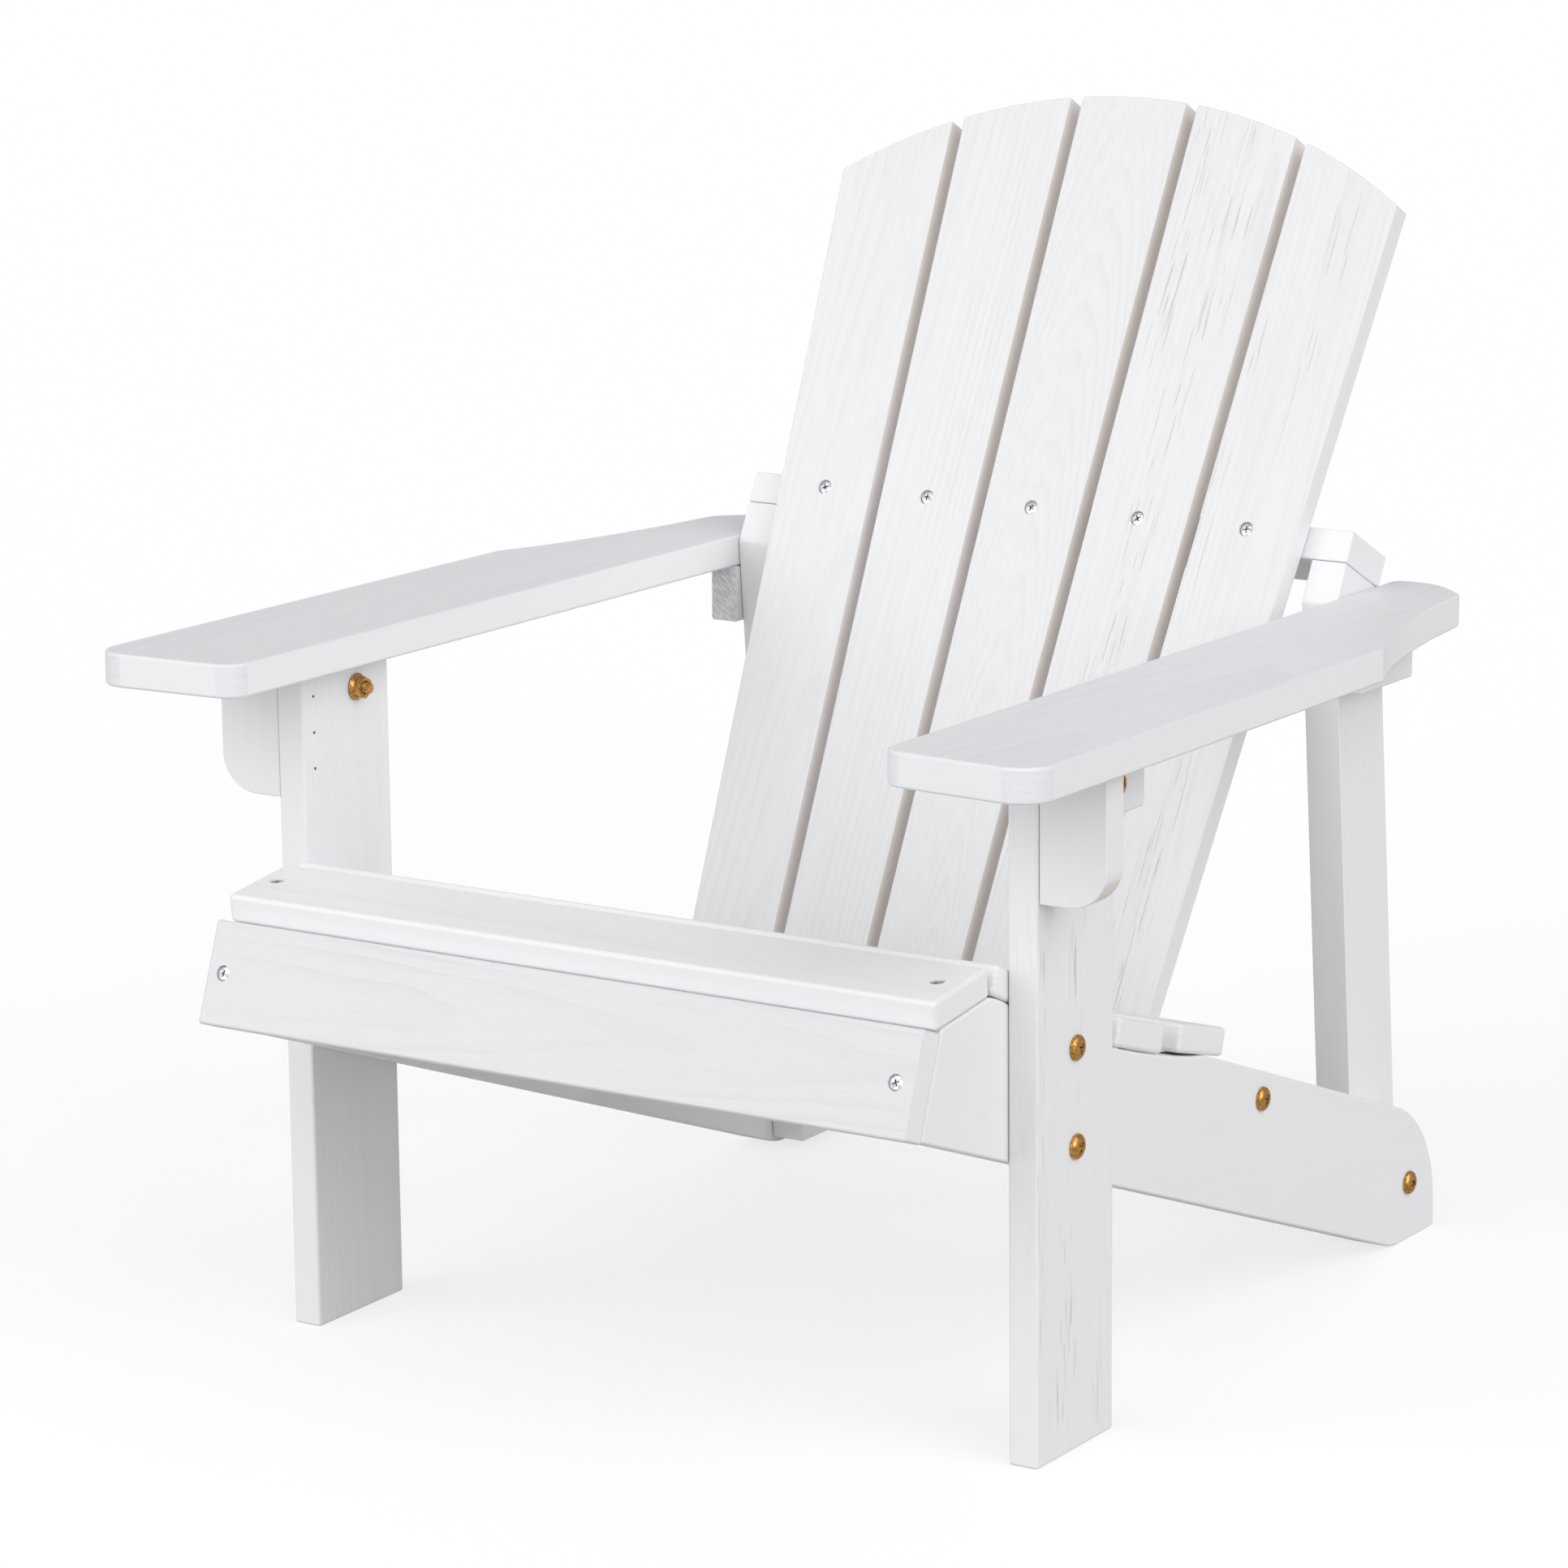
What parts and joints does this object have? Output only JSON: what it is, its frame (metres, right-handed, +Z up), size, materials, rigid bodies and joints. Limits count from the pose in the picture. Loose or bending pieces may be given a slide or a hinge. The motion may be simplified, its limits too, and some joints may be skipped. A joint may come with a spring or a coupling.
{
  "type": "adirondack chair",
  "caption": "Child-size slatted garden chair with a fanned reclined back, a scooped sloping seat and broad flat armrests, screwed and bolted from painted boards.",
  "frame": {"origin": "middle of the chair's bounding box at floor level", "axes": "+Z up, -Y the way the chair faces, +X the sitter's left; X = 0 is the chair's middle plane"},
  "size_m": [0.5372, 0.5834, 0.5909],
  "materials": {
    "painted_wood": "white satin paint over brushed softwood grain",
    "yellow_zinc_steel": "yellow zinc plating",
    "bright_zinc_steel": "bright zinc plating"
  },
  "bodies": {
    "root": {"apron": "painted_wood", "apron_screw_left": "bright_zinc_steel", "apron_screw_right": "bright_zinc_steel", "arm_bracket_left": "painted_wood", "arm_bracket_right": "painted_wood", "armrest_left": "painted_wood", "armrest_right": "painted_wood", "back_crossbar": "painted_wood", "back_rail_barrel_nut_left": "yellow_zinc_steel", "back_rail_barrel_nut_right": "yellow_zinc_steel", "back_rail_bolt_left": "yellow_zinc_steel", "back_rail_bolt_right": "yellow_zinc_steel", "back_slat_1": "painted_wood", "back_slat_2": "painted_wood", "back_slat_3": "painted_wood", "back_slat_4": "painted_wood", "back_slat_5": "painted_wood", "back_slat_screw_1": "bright_zinc_steel", "back_slat_screw_2": "bright_zinc_steel", "back_slat_screw_3": "bright_zinc_steel", "back_slat_screw_4": "bright_zinc_steel", "back_slat_screw_5": "bright_zinc_steel", "crossbar_screw_left": "bright_zinc_steel", "crossbar_screw_right": "bright_zinc_steel", "front_arm_cleat_left": "painted_wood", "front_arm_cleat_right": "painted_wood", "front_cleat_bolt_left": "yellow_zinc_steel", "front_cleat_bolt_right": "yellow_zinc_steel", "front_cleat_nut_left": "yellow_zinc_steel", "front_cleat_nut_right": "yellow_zinc_steel", "front_leg_left": "painted_wood", "front_leg_right": "painted_wood", "lower_back_rail": "painted_wood", "lower_leg_bolt_left": "yellow_zinc_steel", "lower_leg_bolt_right": "yellow_zinc_steel", "lower_leg_nut_left": "yellow_zinc_steel", "lower_leg_nut_right": "yellow_zinc_steel", "post_bolt_left": "yellow_zinc_steel", "post_bolt_right": "yellow_zinc_steel", "post_nut_left": "yellow_zinc_steel", "post_nut_right": "yellow_zinc_steel", "rear_arm_cleat_left": "painted_wood", "rear_arm_cleat_right": "painted_wood", "rear_cleat_bolt_left": "yellow_zinc_steel", "rear_cleat_bolt_right": "yellow_zinc_steel", "rear_cleat_nut_left": "yellow_zinc_steel", "rear_cleat_nut_right": "yellow_zinc_steel", "rear_post_left": "painted_wood", "rear_post_right": "painted_wood", "seat_slat_1": "painted_wood", "seat_slat_2": "painted_wood", "seat_slat_3": "painted_wood", "seat_slat_4": "painted_wood", "seat_slat_5": "painted_wood", "side_rail_left": "painted_wood", "side_rail_right": "painted_wood", "upper_leg_bolt_left": "yellow_zinc_steel", "upper_leg_bolt_right": "yellow_zinc_steel", "upper_leg_nut_left": "yellow_zinc_steel", "upper_leg_nut_right": "yellow_zinc_steel"}
  },
  "joints": []
}
